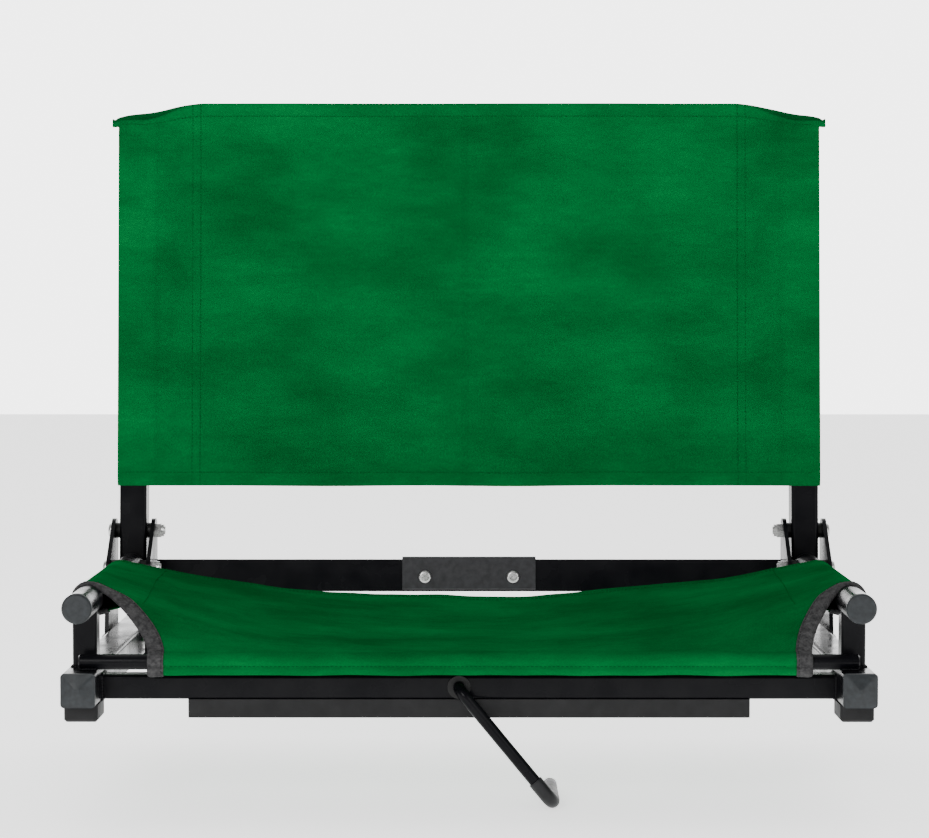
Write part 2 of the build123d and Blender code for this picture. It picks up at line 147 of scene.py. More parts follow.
class Shader:
    """A principled material with a few short ways to add nodes."""

    def __init__(self, name, roughness, metallic=0.0, specular=0.5):
        self.material = bpy.data.materials.new(name)
        self.material.use_nodes = True
        self.tree = self.material.node_tree
        self.bsdf = self.tree.nodes["Principled BSDF"]
        self.set("Roughness", roughness)
        self.set("Metallic", metallic)
        self.set("Specular IOR Level", specular)

    def set(self, socket, value):
        self.bsdf.inputs[socket].default_value = value

    def node(self, kind, **values):
        made = self.tree.nodes.new(kind)
        for key, value in values.items():
            if key in made.inputs:
                made.inputs[key].default_value = value
            else:
                setattr(made, key, value)
        return made

    def link(self, source, target):
        self.tree.links.new(source, target)

    def object_point(self):
        return self.node("ShaderNodeTexCoord").outputs["Object"]

    def noise(self, scale, detail=3.0, stretch=None):
        """Noise over the object's own metres, optionally stretched along an axis."""
        made = self.node("ShaderNodeTexNoise", Scale=scale, Detail=detail)
        point = self.object_point()
        if stretch:
            mapping = self.node("ShaderNodeMapping")
            mapping.inputs["Scale"].default_value = stretch
            self.link(point, mapping.inputs["Vector"])
            point = mapping.outputs["Vector"]
        self.link(point, made.inputs["Vector"])
        return made.outputs["Fac"]

    def ramp(self, source, low, high, dark, light):
        """A colour that goes from dark to light as the source goes from low to high."""
        made = self.node("ShaderNodeValToRGB")
        stops = made.color_ramp.elements
        stops[0].position = low
        stops[1].position = high
        stops[0].color = (*dark, 1)
        stops[1].color = (*light, 1)
        self.link(source, made.inputs["Fac"])
        return made.outputs["Color"]

    def tint(self, color):
        """Gives the surface a colour made by other nodes."""
        self.link(color, self.bsdf.inputs["Base Color"])

    def vary(self, socket, source, low, high):
        """Drives a number socket between low and high by a noise source."""
        made = self.node("ShaderNodeMapRange")
        made.inputs["From Min"].default_value = NOISE_LOW
        made.inputs["From Max"].default_value = NOISE_HIGH
        made.inputs["To Min"].default_value = low
        made.inputs["To Max"].default_value = high
        self.link(source, made.inputs["Value"])
        self.link(made.outputs["Result"], self.bsdf.inputs[socket])

    def bump(self, source, strength, distance):
        """Adds a layer of bump on top of those already there."""
        made = self.node("ShaderNodeBump", Strength=strength, Distance=distance)
        self.link(source, made.inputs["Height"])
        before = self.bsdf.inputs["Normal"].links
        if before:
            self.link(before[0].from_socket, made.inputs["Normal"])
        self.link(made.outputs["Normal"], self.bsdf.inputs["Normal"])

    def weave(self, pitch):
        """Height of a plain weave over the cloth's own metres."""
        split = self.node("ShaderNodeSeparateXYZ")
        self.link(self.node("ShaderNodeUVMap", uv_map="cloth").outputs["UV"], split.inputs[0])
        waves = []
        for axis in ("X", "Y"):
            turn = self.node("ShaderNodeMath", operation="MULTIPLY")
            turn.inputs[1].default_value = math.pi / pitch
            self.link(split.outputs[axis], turn.inputs[0])
            wave = self.node("ShaderNodeMath", operation="SINE")
            self.link(turn.outputs[0], wave.inputs[0])
            waves.append(wave.outputs[0])
        product = self.node("ShaderNodeMath", operation="MULTIPLY")
        self.link(waves[0], product.inputs[0])
        self.link(waves[1], product.inputs[1])
        return product.outputs[0]


def powder_coat():
    """Glossy black powder coat with fine orange peel and faint handling marks."""
    s = Shader("powder_coat", 0.25, specular=0.08)
    s.tint(s.ramp(s.noise(60), 0.3, 0.75, (0.002, 0.002, 0.003), (0.005, 0.005, 0.006)))
    s.vary("Roughness", s.noise(35, 5), 0.17, 0.34)
    s.bump(s.noise(1400, 2), 0.10, 0.2 * MM)
    s.bump(s.noise(260, 2), 0.06, 0.4 * MM)
    return s.material


def charcoal_coat():
    """Textured charcoal coat of the plate on the back bar."""
    s = Shader("charcoal_coat", 0.42, specular=0.25)
    s.tint(s.ramp(s.noise(240), 0.3, 0.7, (0.012, 0.012, 0.013), (0.024, 0.0245, 0.027)))
    s.bump(s.noise(1800, 2), 0.25, 0.2 * MM)
    return s.material


def cap_plastic():
    """Moulded blue-grey plastic, paler where it has been rubbed."""
    s = Shader("cap_plastic", 0.45, specular=0.3)
    s.tint(s.ramp(s.noise(300, 4), 0.25, 0.75, (0.006, 0.0075, 0.0085), (0.018, 0.022, 0.025)))
    s.vary("Roughness", s.noise(120), 0.36, 0.56)
    s.bump(s.noise(2200, 2), 0.22, 0.2 * MM)
    return s.material


def zinc():
    """Bright zinc plate with a slight drift in tone and fine turning marks."""
    s = Shader("zinc", 0.3, metallic=1.0)
    s.tint(s.ramp(s.noise(420, 4), 0.3, 0.7, (0.36, 0.36, 0.355), (0.58, 0.58, 0.57)))
    s.vary("Roughness", s.noise(700, 3), 0.2, 0.42)
    s.bump(s.noise(2600, 2), 0.12, 0.1 * MM)
    return s.material


def soft_black(name, color, roughness, grain):
    """Rubber, nylon or vinyl with a fine moulded grain."""
    s = Shader(name, roughness, specular=0.25)
    darker = tuple(0.6 * v for v in color)
    lighter = tuple(1.5 * v for v in color)
    s.tint(s.ramp(s.noise(180, 4), 0.3, 0.7, darker, lighter))
    s.vary("Roughness", s.noise(90), roughness - 0.08, roughness + 0.1)
    s.bump(s.noise(grain, 2), 0.2, 0.3 * MM)
    return s.material


def canvas():
    """Green polyester canvas: plain weave, slubs and soft mottling."""
    s = Shader("canvas", 0.9, specular=0.0)
    mottle = s.noise(24, 4, stretch=(0.45, 1, 1))
    color = s.ramp(mottle, 0.32, 0.7, (0.0004, 0.084, 0.018), (0.0008, 0.146, 0.033))
    fine = s.ramp(s.noise(900, 3), 0.3, 0.7, (0.80,) * 3, (1.0,) * 3)
    slub = s.ramp(s.noise(260, 4, stretch=(0.25, 1, 1)), 0.3, 0.7, (0.86,) * 3, (1.0,) * 3)
    for layer in (fine, slub):
        blend = s.node("ShaderNodeMix", data_type="RGBA", blend_type="MULTIPLY")
        blend.inputs["Factor"].default_value = 1.0
        s.link(color, blend.inputs["A"])
        s.link(layer, blend.inputs["B"])
        color = blend.outputs["Result"]
    s.tint(color)
    s.bump(s.weave(0.9 * MM), 0.35, 0.3 * MM)
    s.bump(s.noise(140, 4), 0.25, 1.2 * MM)
    return s.material


def tape():
    """Charcoal grosgrain binding."""
    s = Shader("tape", 0.85, specular=0.05)
    s.tint(s.ramp(s.noise(350, 3), 0.3, 0.7, (0.024, 0.024, 0.025), (0.062, 0.061, 0.062)))
    s.bump(s.weave(1.1 * MM), 0.5, 0.3 * MM)
    return s.material


def thread(name, dark, light):
    """Twisted sewing thread."""
    s = Shader(name, 0.8, specular=0.0)
    s.tint(s.ramp(s.noise(1500, 2), 0.3, 0.7, dark, light))
    s.bump(s.noise(3500, 1), 0.3, 0.1 * MM)
    return s.material


MATERIALS = {
    "black_metal": powder_coat(),
    "charcoal_metal": charcoal_coat(),
    "cap_plastic": cap_plastic(),
    "zinc": zinc(),
    "black_plastic": soft_black("nylon", (0.005, 0.005, 0.005), 0.45, 1500),
    "rubber": soft_black("rubber", (0.006, 0.006, 0.0065), 0.62, 900),
    "vinyl": soft_black("vinyl", (0.008, 0.0083, 0.009), 0.45, 1100),
    "canvas": canvas(),
}
TAPE = tape()
GREEN_THREAD = thread("green_thread", (0.0, 0.06, 0.012), (0.0, 0.105, 0.022))
# The rod hem's thread is real stitching, coloured much darker than the cloth as painted shade for the stitched
# groove under the rod.
HEM_THREAD_PAINTED_SHADE = thread("hem_thread_painted_shade", (0.0, 0.022, 0.006), (0.0, 0.045, 0.012))
GREY_THREAD = thread("grey_thread", (0.015, 0.015, 0.015), (0.045, 0.045, 0.045))


def paint_cad_nodes():
    """Gives each carried-over CAD node the material of its slot."""
    slots = {s["node"]: s["material_slot"] for s in frame["record"]["subparts"]}
    for name, node in frame["nodes"].items():
        node.data.materials.clear()
        node.data.materials.append(MATERIALS[slots[name]])


# ---- Sewing ----

THREAD_PITCH = 2.8 * MM
STITCH_HALF = 0.40 * THREAD_PITCH
STITCH_FAT = 0.34 * MM
STITCH_LIFT = 0.18 * MM
STITCH_SIDES = 6
# Rings from end to end of a stitch: the place along its half length, and the share of its thickness.
STITCH_RINGS = ((-1.0, 0.15), (-0.6, 0.85), (0.6, 0.85), (1.0, 0.15))


def stitch_row(points, normals, verts, faces):
    """Adds a row of separate stitches lying on a path of points."""
    steps = [0.0]
    for a, b in zip(points, points[1:]):
        steps.append(steps[-1] + (b - a).length)
    segment = 0
    for index in range(int(steps[-1] / THREAD_PITCH)):
        at = (index + 0.5) * THREAD_PITCH
        while steps[segment + 1] < at:
            segment += 1
        t = (at - steps[segment]) / (steps[segment + 1] - steps[segment])
        along = (points[segment + 1] - points[segment]).normalized()
        up = normals[segment].lerp(normals[segment + 1], t).normalized()
        side = along.cross(up).normalized()
        middle = points[segment].lerp(points[segment + 1], t) + up * STITCH_LIFT
        start = len(verts)
        for place, width in STITCH_RINGS:
            for k in range(STITCH_SIDES):
                turn = 2 * math.pi * k / STITCH_SIDES
                out = side * math.cos(turn) + up * math.sin(turn)
                verts.append(middle + along * (STITCH_HALF * place) + out * (STITCH_FAT * width))
        last = len(verts) - STITCH_SIDES
        faces.extend(grid_faces(len(STITCH_RINGS), STITCH_SIDES, start, closed=True))
        faces.append(tuple(start + k for k in reversed(range(STITCH_SIDES))))
        faces.append(tuple(last + k for k in range(STITCH_SIDES)))


def stitching(name, rows, body, material):
    """One piece of all the stitches in some rows, each a path of points and its normals."""
    verts, faces = [], []
    for points, normals in rows:
        stitch_row(points, normals, verts, faces)
    piece = mesh_piece(name, verts, faces)
    return finish_piece(piece, body, material)


def thicken(piece, thickness):
    """Gives a sheet its thickness and rounds it once."""
    solid = piece.modifiers.new("thickness", "SOLIDIFY")
    solid.thickness = thickness
    solid.offset = 0.0
    finer = piece.modifiers.new("finer", "SUBSURF")
    finer.levels = 1
    finer.render_levels = 1


def cloth(name, verts, faces, uvs, body, **declared):
    """A sheet of canvas: its faces are joined up and turned one way, then it is thickened."""
    piece = mesh_piece(name, verts, faces, uvs)
    bm = bmesh.new()
    bm.from_mesh(piece.data)
    bmesh.ops.remove_doubles(bm, verts=bm.verts, dist=SAME_POINT)
    bmesh.ops.recalc_face_normals(bm, faces=bm.faces)
    bm.to_mesh(piece.data)
    bm.free()
    thicken(piece, FABRIC)
    finish_piece(piece, body, MATERIALS["canvas"])
    return piece


# ---- Back sling ----

# The sling stands BACK_LOW above the hinge and is BACK_TALL high. Its seams are SEAM_X out from the
# middle, and POST_AWAY and BACK_OUT are where it goes round a post.
POST_IN, POST_OUT = box_span("back_post_right", 0)
POST_AWAY = (POST_OUT - POST_IN) / 2 + 0.8 * MM
BACK_OUT = POST_OUT + 1.3 * MM
BACK_LOW = 33.6 * MM
BACK_TALL = 286.0 * MM
BACK_ROWS = 60
LAYER_GAP = 2.0 * MM
SIDE_BEND = 3.0 * MM
SEAM_X = 207.0 * MM
SEAM_WIDE = 6.0 * MM
HEM_DEPTH = 9.0 * MM
HEM_BULK = 1.3 * MM

# Steps round a quarter of the sling: the flat web, the slope up to the post, the post, the bend
# round its outer corner and half of its side.
WEB_STEPS = 36
SLOPE_STEPS = 12
POST_STEPS = 6
BEND_STEPS = 5
SIDE_STEPS = 4

# How deep the top edge of the front and the rear layer dips at the post, and over what width.
DIP_FRONT = (14.0 * MM, 38.0 * MM)
DIP_REAR = (7.5 * MM, 52.0 * MM)
DIP_EARLY = 3.0 * MM
# The shares of the sling's height, from the top down, that dip and that curl.
TOP_BAND = 0.07
CURL_BAND = 0.035
CURL_OUT = 6.0 * MM
CURL_DOWN = 3.5 * MM


def back_ring():
    """Points (x, y) of one turn round both posts, from the middle of the front rightwards."""
    quarter = []
    for k in range(WEB_STEPS):
        quarter.append((SEAM_X * k / WEB_STEPS, LAYER_GAP))
    for k in range(SLOPE_STEPS):
        t = k / SLOPE_STEPS
        rise = mix(t, smooth(t), 0.4)
        quarter.append((mix(SEAM_X, POST_IN, t), mix(LAYER_GAP, POST_AWAY, rise)))
    for k in range(POST_STEPS):
        quarter.append((mix(POST_IN, BACK_OUT - SIDE_BEND, k / POST_STEPS), POST_AWAY))
    for k in range(BEND_STEPS):
        turn = math.pi / 2 * k / BEND_STEPS
        x = BACK_OUT - SIDE_BEND + SIDE_BEND * math.sin(turn)
        quarter.append((x, POST_AWAY - SIDE_BEND + SIDE_BEND * math.cos(turn)))
    for k in range(SIDE_STEPS):
        quarter.append((BACK_OUT, mix(POST_AWAY - SIDE_BEND, 0.0, k / SIDE_STEPS)))
    front_right = [(x, -y) for x, y in quarter]
    back_right = [(x, y) for x, y in reversed(quarter[1:])]
    back_left = [(-x, y) for x, y in quarter]
    front_left = [(-x, -y) for x, y in reversed(quarter[1:])]
    side_right = [(BACK_OUT, 0.0)]
    side_left = [(-BACK_OUT, 0.0)]
    return front_right + side_right + back_right + back_left + side_left + front_left


def back_swell(x, height, on_post):
    """How far the cloth stands off its flat shape: sag, creases, and the pucker along the seams."""
    sag = 1.7 * MM * ripple(x, height, 85 * MM, 2.0) + 0.6 * MM * ripple(x, height, 28 * MM, 7.0)
    sag += 2.2 * MM * (1 - on_post) * math.sin(math.pi * height / BACK_TALL)
    near_seam = math.exp(-(((abs(x) - SEAM_X) / (9 * MM)) ** 2))
    phase = height / (4.6 * MM) + 3 * ripple(x, height, 50 * MM, 4)
    pucker = 0.35 * MM * near_seam * math.sin(phase)
    return (sag + pucker) * mix(1.0, 0.12, on_post)


def top_dip(x, front, on_post):
    """How far the top edge has dipped at x, going from the seam out to the post."""
    deep, wide = DIP_FRONT if front else DIP_REAR
    along = (abs(x) - SEAM_X + DIP_EARLY) / wide
    straight = min(max(along, 0.0), 1.0)
    return deep * mix(straight, smooth(along), 0.5) + 1.0 * MM * ripple(x, 0.0, 20 * MM, 9.0) * on_post


def corner_curl(x, y, share):
    """How far a top outer corner has rolled over, from 0 to 1."""
    flare = smooth((share - 1 + CURL_BAND) / CURL_BAND)
    outer = smooth((abs(x) - POST_IN - 14 * MM) / (7 * MM))
    return flare * outer * smooth((y + 9 * MM) / (8 * MM))


def back_point(x, y, height, inset=0.0):
    """A point of the back sling: its place round the posts, and its height on the cloth."""
    front = y < 0
    on_post = smooth((abs(x) - SEAM_X) / (POST_IN - SEAM_X))
    share = height / BACK_TALL
    y += back_swell(x, height, on_post)
    if on_post > 0.9 and front and y < -0.8 * POST_AWAY:
        y = min(y, -POST_AWAY)
    height -= top_dip(x, front, on_post) * smooth((share - 1 + TOP_BAND) / TOP_BAND)
    curl = corner_curl(x, y, share)
    x += math.copysign(CURL_OUT * math.sin(0.6 * math.pi * curl), x)
    height -= CURL_DOWN * curl ** 2
    height += 0.5 * MM * ripple(x, 1.0, 70 * MM, 5.0) * (1 - share)
    if abs(abs(x) - BACK_OUT) < SIDE_BEND and abs(y) < 8 * MM:
        x -= math.copysign(inset, x)
    else:
        y += -inset if y > 0 else inset
    return to_back(x, y, BACK_LOW + height)


def back_levels():
    """(height, inset) of each row of the sling: up the hem inside, the cloth, and the top hem."""
    low = [(HEM_DEPTH, HEM_BULK), (HEM_DEPTH / 2, HEM_BULK), (HEM_BULK, HEM_BULK)]
    turn = [(0.2 * MM, HEM_BULK * 0.75), (0.0, HEM_BULK * 0.4)]
    levels = low + turn
    levels += [(BACK_TALL * r / BACK_ROWS, 0.0) for r in range(BACK_ROWS + 1)]
    levels += [(BACK_TALL - height, inset) for height, inset in reversed(low + turn)]
    return levels


def make_back_sling():
    """A tube of canvas pulled over both posts, hemmed along the top and the bottom."""
    ring = back_ring()
    levels = back_levels()
    grid = [[back_point(x, y, height, inset) for x, y in ring] for height, inset in levels]
    around = [0.0]
    closed = ring + ring[:1]
    for a, b in zip(closed, closed[1:]):
        around.append(around[-1] + math.dist(a, b))
    cloth_v = [0.0]
    for a, b in zip(grid, grid[1:]):
        cloth_v.append(cloth_v[-1] + (b[0] - a[0]).length)
    verts = [p for row in grid for p in row]
    uvs = [(u, v) for v in cloth_v for u in around[:-1]]
    faces = grid_faces(len(grid), len(ring), closed=True)
    first = levels.index((0.0, 0.0))
    sewn = make_back_stitching(ring, grid[first:first + BACK_ROWS + 1])
    sling = cloth(
        "back_sling_cloth", verts, faces, uvs, "back",
        flat=(round(around[-1], 3), round(BACK_TALL + 2 * HEM_DEPTH, 3)),
        held="stretched", rests_on=["back_post_left", "back_post_right"], with_pieces=[sewn],
    )
    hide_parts("back_sling")


def seam_row(ring, grid, x_line, front):
    """One line of a seam up the back sling, on its front or its rear layer."""
    column = min(
        (c for c in range(len(ring)) if (ring[c][1] < 0) == front),
        key=lambda c: abs(ring[c][0] - x_line),
    )
    out = to_back(0, -1.0 if front else 1.0, 0) - to_back(0, 0, 0)
    shift = Vector((x_line - ring[column][0], 0, 0))
    points = [row[column] + shift + out * (0.5 * FABRIC) for row in grid]
    return points, [out] * len(points)


def back_hem_row(ring, row, sign):
    """A row of hem stitches across the front (-1) or rear (1) layer of the back sling."""
    columns = [c for c in range(len(ring)) if ring[c][1] * sign > 0]
    columns.sort(key=lambda c: ring[c][0])
    out = (to_back(0, sign, 0) - to_back(0, 0, 0)).normalized()
    points = [row[c] + out * (0.5 * FABRIC) for c in columns if abs(ring[c][0]) < BACK_OUT - 2 * MM]
    return points, [out] * len(points)


def make_back_stitching(ring, grid):
    """Double seams beside both posts, and hems along the top and the bottom."""
    rows = []
    for x_line in (SEAM_X, SEAM_X - SEAM_WIDE):
        for sign in (-1, 1):
            for front in (True, False):
                rows.append(seam_row(ring, grid, sign * x_line, front))
    hem_row = round(HEM_DEPTH / BACK_TALL * BACK_ROWS)
    for row in (grid[hem_row], grid[BACK_ROWS - hem_row]):
        for sign in (-1, 1):
            rows.append(back_hem_row(ring, row, sign))
    return stitching("back_stitching", rows, "back", GREEN_THREAD)


# ---- Seat sling ----

RAIL = Vector(box_middle("side_rail_right"))
RAIL_LOW_X, RAIL_HIGH_X = box_span("side_rail_right", 0)
RAIL_AWAY = (RAIL_HIGH_X - RAIL_LOW_X) / 2 + 0.75 * MM
ROD_Y, ROD_Z = box_middle("hem_rod")[1:]
ROD_AWAY = 5.75 * MM
SEAT_REAR = box_span("seat_sling", 1)[1]
SEAT_FRONT = 12.0 * MM
REAR_MIDDLE_Z = 59.0 * MM
SEAT_SAG = 4.0 * MM
TURN_UP_FROM = 110.0 * MM
SEAT_ROWS = 30
CORNER_ROWS = 16
PANEL_COLS = 96
TOUCH_ROUNDS = 8

# The flap that closes a rail sleeve: it lies under the seat, sewn at the seam, and goes up to the
# rail. The wrap is the flap and the turn round the rail.
SLEEVE_SEAM_X = 221.0 * MM
SLEEVE_SEAM_COLUMN = 6
FLAP_DROP = 1.3 * MM
FLAP_WIDE = 9.0 * MM
FLAP_STEPS = 3
SLOPE_TO_RAIL_STEPS = 5
WRAP_COLS = 26

# For the left (-1) and the right (1) side: how far out the hem ends, and the point (outwards, up)
# that the cut-out's edge bends towards.
HEM_END = {-1: 206.5 * MM, 1: 220.5 * MM}
CUT_BEND = {-1: (213.0 * MM, 65.0 * MM), 1: (223.5 * MM, 63.0 * MM)}

# The rod hem in section, as (y, z) from the middle of the rod: round the rod's front, in along a
# stitched groove, round a flange, and back behind the rod to the seam under the seat.
ROD_STEPS = 9
ROD_SLACK = 0.8 * MM
HEM_GROOVE = ((-5.1 * MM, -2.2 * MM), (-6.1 * MM, -3.6 * MM), (-6.3 * MM, -5.0 * MM))
HEM_LOW = 30.4 * MM
FLANGE_Y = -3.0 * MM
FLANGE_TALL = 0.9 * MM
FLANGE_DEEP = 3.2 * FLANGE_TALL
FLANGE_STEPS = 6
HEM_KNEE = (ROD_AWAY + 0.6 * MM, -1.0 * MM)
HEM_SEAM_Y = 15.0 * MM
HEM_SEAM_DROP = 1.4 * MM
HEM_REAR_STEPS = 4
HEM_FRONT_ROWS = ROD_STEPS + len(HEM_GROOVE) + FLANGE_STEPS + 1

TAPE_WIDTH = 10.0 * MM
TAPE_THICK = 0.8 * MM
TAPE_AWAY = 0.5 * FABRIC + 0.5 * MM
TAPE_STITCH_IN = 1.6 * MM
TAPE_STITCH_LIFT = 0.3 * MM
TAPE_CLOTH_STEP = 2.5 * MM
# Half the tape in section: depth from the bound edge, and level off the cloth's middle.
TAPE_PROFILE = ((TAPE_WIDTH, 1.0), (TAPE_WIDTH * 0.6, 1.15), (1.4 * MM, 1.6), (-0.6 * MM, 0.9))
TAPE_FROM_COLUMN = 6
EDGE_SMOOTHINGS = 6


def middle_height(y):
    """Height of the seat along its middle: up from the rod to the rear edge, with a sag between."""
    t = (y - ROD_Y) / (SEAT_REAR - ROD_Y)
    rise = mix(t, smooth(t), 0.5)
    return mix(ROD_Z + ROD_AWAY, REAR_MIDDLE_Z, rise) - SEAT_SAG * math.sin(math.pi * t)


def seat_power(y):
    """How sharply the seat turns up at its sides: more and more towards the front."""
    to_front = smooth((TURN_UP_FROM - y) / (TURN_UP_FROM - SEAT_FRONT))
    to_rod = smooth((SEAT_FRONT - y) / (SEAT_FRONT - ROD_Y))
    return 2.0 + 1.1 * to_front + 1.6 * to_rod


def seat_section(y):
    """The curve across the seat, touching the rail: its end's x and z, middle z and end angle."""
    middle = middle_height(y)
    slope = 0.2
    for _ in range(TOUCH_ROUNDS):
        angle = math.atan(slope)
        end_x = RAIL.x - RAIL_AWAY * math.sin(angle)
        end_z = RAIL.z + RAIL_AWAY * math.cos(angle)
        slope = seat_power(y) * (end_z - middle) / end_x
    return end_x, end_z, middle, math.atan(slope)


def seat_wrinkle(x, y):
    """Unevenness of the seat: soft dents, pulls at the rails and gathers at the rod hem."""
    to_rail = RAIL.x - abs(x)
    from_rod = y - ROD_Y
    soft = 2.4 * MM * ripple(x, y, 75 * MM, 11.0) + 0.9 * MM * ripple(x, y * 1.5, 26 * MM, 3.0)
    pull = 0.8 * MM * math.sin(y / (7 * MM) + 4 * ripple(x, y, 60 * MM, 6.0))
    pull *= math.exp(-to_rail / (40 * MM))
    gather = 0.5 * MM * math.sin(x / (5.5 * MM) + 5 * ripple(x, 0, 70 * MM, 8.0))
    gather *= math.exp(-max(from_rod, 0) / (16 * MM)) * smooth(from_rod / (6 * MM))
    free_of_rod = smooth(from_rod / (30 * MM))
    free_of_rail = smooth((to_rail - 3 * MM) / (35 * MM))
    return (soft * free_of_rod + pull) * free_of_rail + gather


def sleeve_wrap(rise, end_angle):
    """Points (x, z) of the right sleeve: the flap, the way up to the rail and the turn round it."""
    seam = (SLEEVE_SEAM_X, rise(SLEEVE_SEAM_X) - FLAP_DROP)
    away = math.dist(seam, (RAIL.x, RAIL.z))
    toward = math.atan2(seam[1] - RAIL.z, RAIL.x - seam[0])
    low = toward - math.acos(RAIL_AWAY / away)
    high = math.pi / 2 - end_angle - 2 * math.pi
    foot = (RAIL.x - RAIL_AWAY * math.cos(low), RAIL.z + RAIL_AWAY * math.sin(low))
    wrap = []
    for k in range(FLAP_STEPS):
        x = SLEEVE_SEAM_X - FLAP_WIDE * (1 - k / FLAP_STEPS)
        wrap.append((x, rise(x) - FLAP_DROP))
    for k in range(SLOPE_TO_RAIL_STEPS):
        t = k / SLOPE_TO_RAIL_STEPS
        wrap.append((mix(seam[0], foot[0], t), mix(seam[1], foot[1], t)))
    turns = WRAP_COLS - len(wrap)
    for k in range(turns):
        a = mix(low, high, k / turns)
        wrap.append((RAIL.x - RAIL_AWAY * math.cos(a), RAIL.z + RAIL_AWAY * math.sin(a)))
    return wrap


def seat_row(y):
    """A row of the seat that goes round both rails: its left wrap, its panel and its right wrap."""
    end_x, end_z, middle, angle = seat_section(y)
    power = seat_power(y)

    def rise(x):
        return middle + (end_z - middle) * (abs(x) / end_x) ** power

    wrap = sleeve_wrap(rise, angle)
    left = [Vector((-x, y, z)) for x, z in wrap]
    right = [Vector((x, y, z)) for x, z in reversed(wrap)]
    panel = []
    for k in range(PANEL_COLS + 1):
        x = mix(-end_x, end_x, k / PANEL_COLS)
        panel.append(Vector((x, y, rise(x) + seat_wrinkle(x, y))))
    return left, panel, right


def corner_edge(share, sign):
    """The left (-1) or right (1) cut-out's edge: a curve from the rail down to the hem rod."""
    end_x, end_z, _, _ = seat_section(SEAT_FRONT)
    bend_x, bend_z = CUT_BEND[sign]
    start, bend, end = (1 - share) ** 2, 2 * share * (1 - share), share ** 2
    x = start * end_x + bend * bend_x + end * HEM_END[sign]
    z = start * end_z + bend * bend_z + end * (ROD_Z + ROD_AWAY)
    return Vector((sign * x, mix(SEAT_FRONT, ROD_Y, share), z))


def corner_row(step):
    """A row in front of the rails, from one cut-out's edge to the other's."""
    share = step / CORNER_ROWS
    left, right = corner_edge(share, -1), corner_edge(share, 1)
    middle_z = middle_height(left.y)
    power = seat_power(left.y)
    row = []
    for k in range(PANEL_COLS + 1):
        x = mix(left.x, right.x, k / PANEL_COLS)
        edge = left if x < 0 else right
        z = mix(middle_z, edge.z, (x / edge.x) ** power)
        row.append(Vector((x, left.y, z + seat_wrinkle(x, left.y))))
    return row


def hem_path():
    """The rod hem's section as (y, z), from the rod's top round to the seam behind it."""
    path = []
    for k in range(1, ROD_STEPS + 1):
        a = math.radians(mix(90, 190, k / ROD_STEPS))
        away = ROD_AWAY + ROD_SLACK * math.sin(math.pi * k / (ROD_STEPS + 2))
        path.append((ROD_Y + away * math.cos(a), ROD_Z + away * math.sin(a)))
    path += [(ROD_Y + y, ROD_Z + z) for y, z in HEM_GROOVE]
    for k in range(FLANGE_STEPS + 1):
        a = math.radians(mix(180, 360, k / FLANGE_STEPS))
        flange_z = HEM_LOW + FLANGE_TALL + FLANGE_TALL * math.sin(a)
        path.append((ROD_Y + FLANGE_Y + FLANGE_DEEP * math.cos(a), flange_z))
    last_y, last_z = path[-1]
    knee_y, knee_z = ROD_Y + HEM_KNEE[0], ROD_Z + HEM_KNEE[1]
    seam_y = ROD_Y + HEM_SEAM_Y
    seam_z = middle_height(seam_y) - HEM_SEAM_DROP
    path.append((mix(last_y, knee_y, 0.5), mix(last_z, knee_z, 0.4)))
    for k in range(HEM_REAR_STEPS + 1):
        t = k / HEM_REAR_STEPS
        path.append((mix(knee_y, seam_y, t), mix(knee_z, seam_z, t)))
    return path


def hem_rows():
    """Rows of the rod hem, a little wavy where the cloth is loose."""
    rows = []
    for y, z in hem_path():
        row = []
        for k in range(PANEL_COLS + 1):
            x = mix(-HEM_END[-1], HEM_END[1], k / PANEL_COLS)
            to_end = min(HEM_END[-1] + x, HEM_END[1] - x)
            loose = smooth((ROD_Z - z) / (6 * MM)) * smooth(to_end / (20 * MM))
            wave = 0.7 * MM * loose * ripple(x, 0.0, 30 * MM, 5.0)
            row.append(Vector((x, y + wave, z + 0.8 * wave)))
        rows.append(row)
    return rows


def tape_strip(name, edge, inward, normals):
    """Binding folded over an edge: a U of tape along it. Returns it and its row of stitches."""
    profile = list(TAPE_PROFILE)
    profile += [(depth, -level) for depth, level in reversed(profile)]
    verts, uvs = [], []
    length = 0.0
    for k, (p, d, n) in enumerate(zip(edge, inward, normals)):
        length += (p - edge[k - 1]).length if k else 0.0
        for m, (depth, level) in enumerate(profile):
            verts.append(p + d * depth + n * (TAPE_AWAY * level))
            uvs.append((length, m * TAPE_CLOTH_STEP))
    piece = mesh_piece(name, verts, grid_faces(len(edge), len(profile)), uvs)
    thicken(piece, TAPE_THICK)
    finish_piece(piece, "base", TAPE)
    on_tape = [
        p + d * (TAPE_WIDTH - TAPE_STITCH_IN) + n * (TAPE_AWAY + TAPE_STITCH_LIFT)
        for p, d, n in zip(edge, inward, normals)
    ]
    return piece, (on_tape, normals)


def smoothed(ways):
    """Directions along a line, each averaged with its neighbours."""
    last = len(ways) - 1
    return [
        (ways[max(k - 1, 0)] + ways[k] * 2 + ways[min(k + 1, last)]).normalized()
        for k in range(len(ways))
    ]


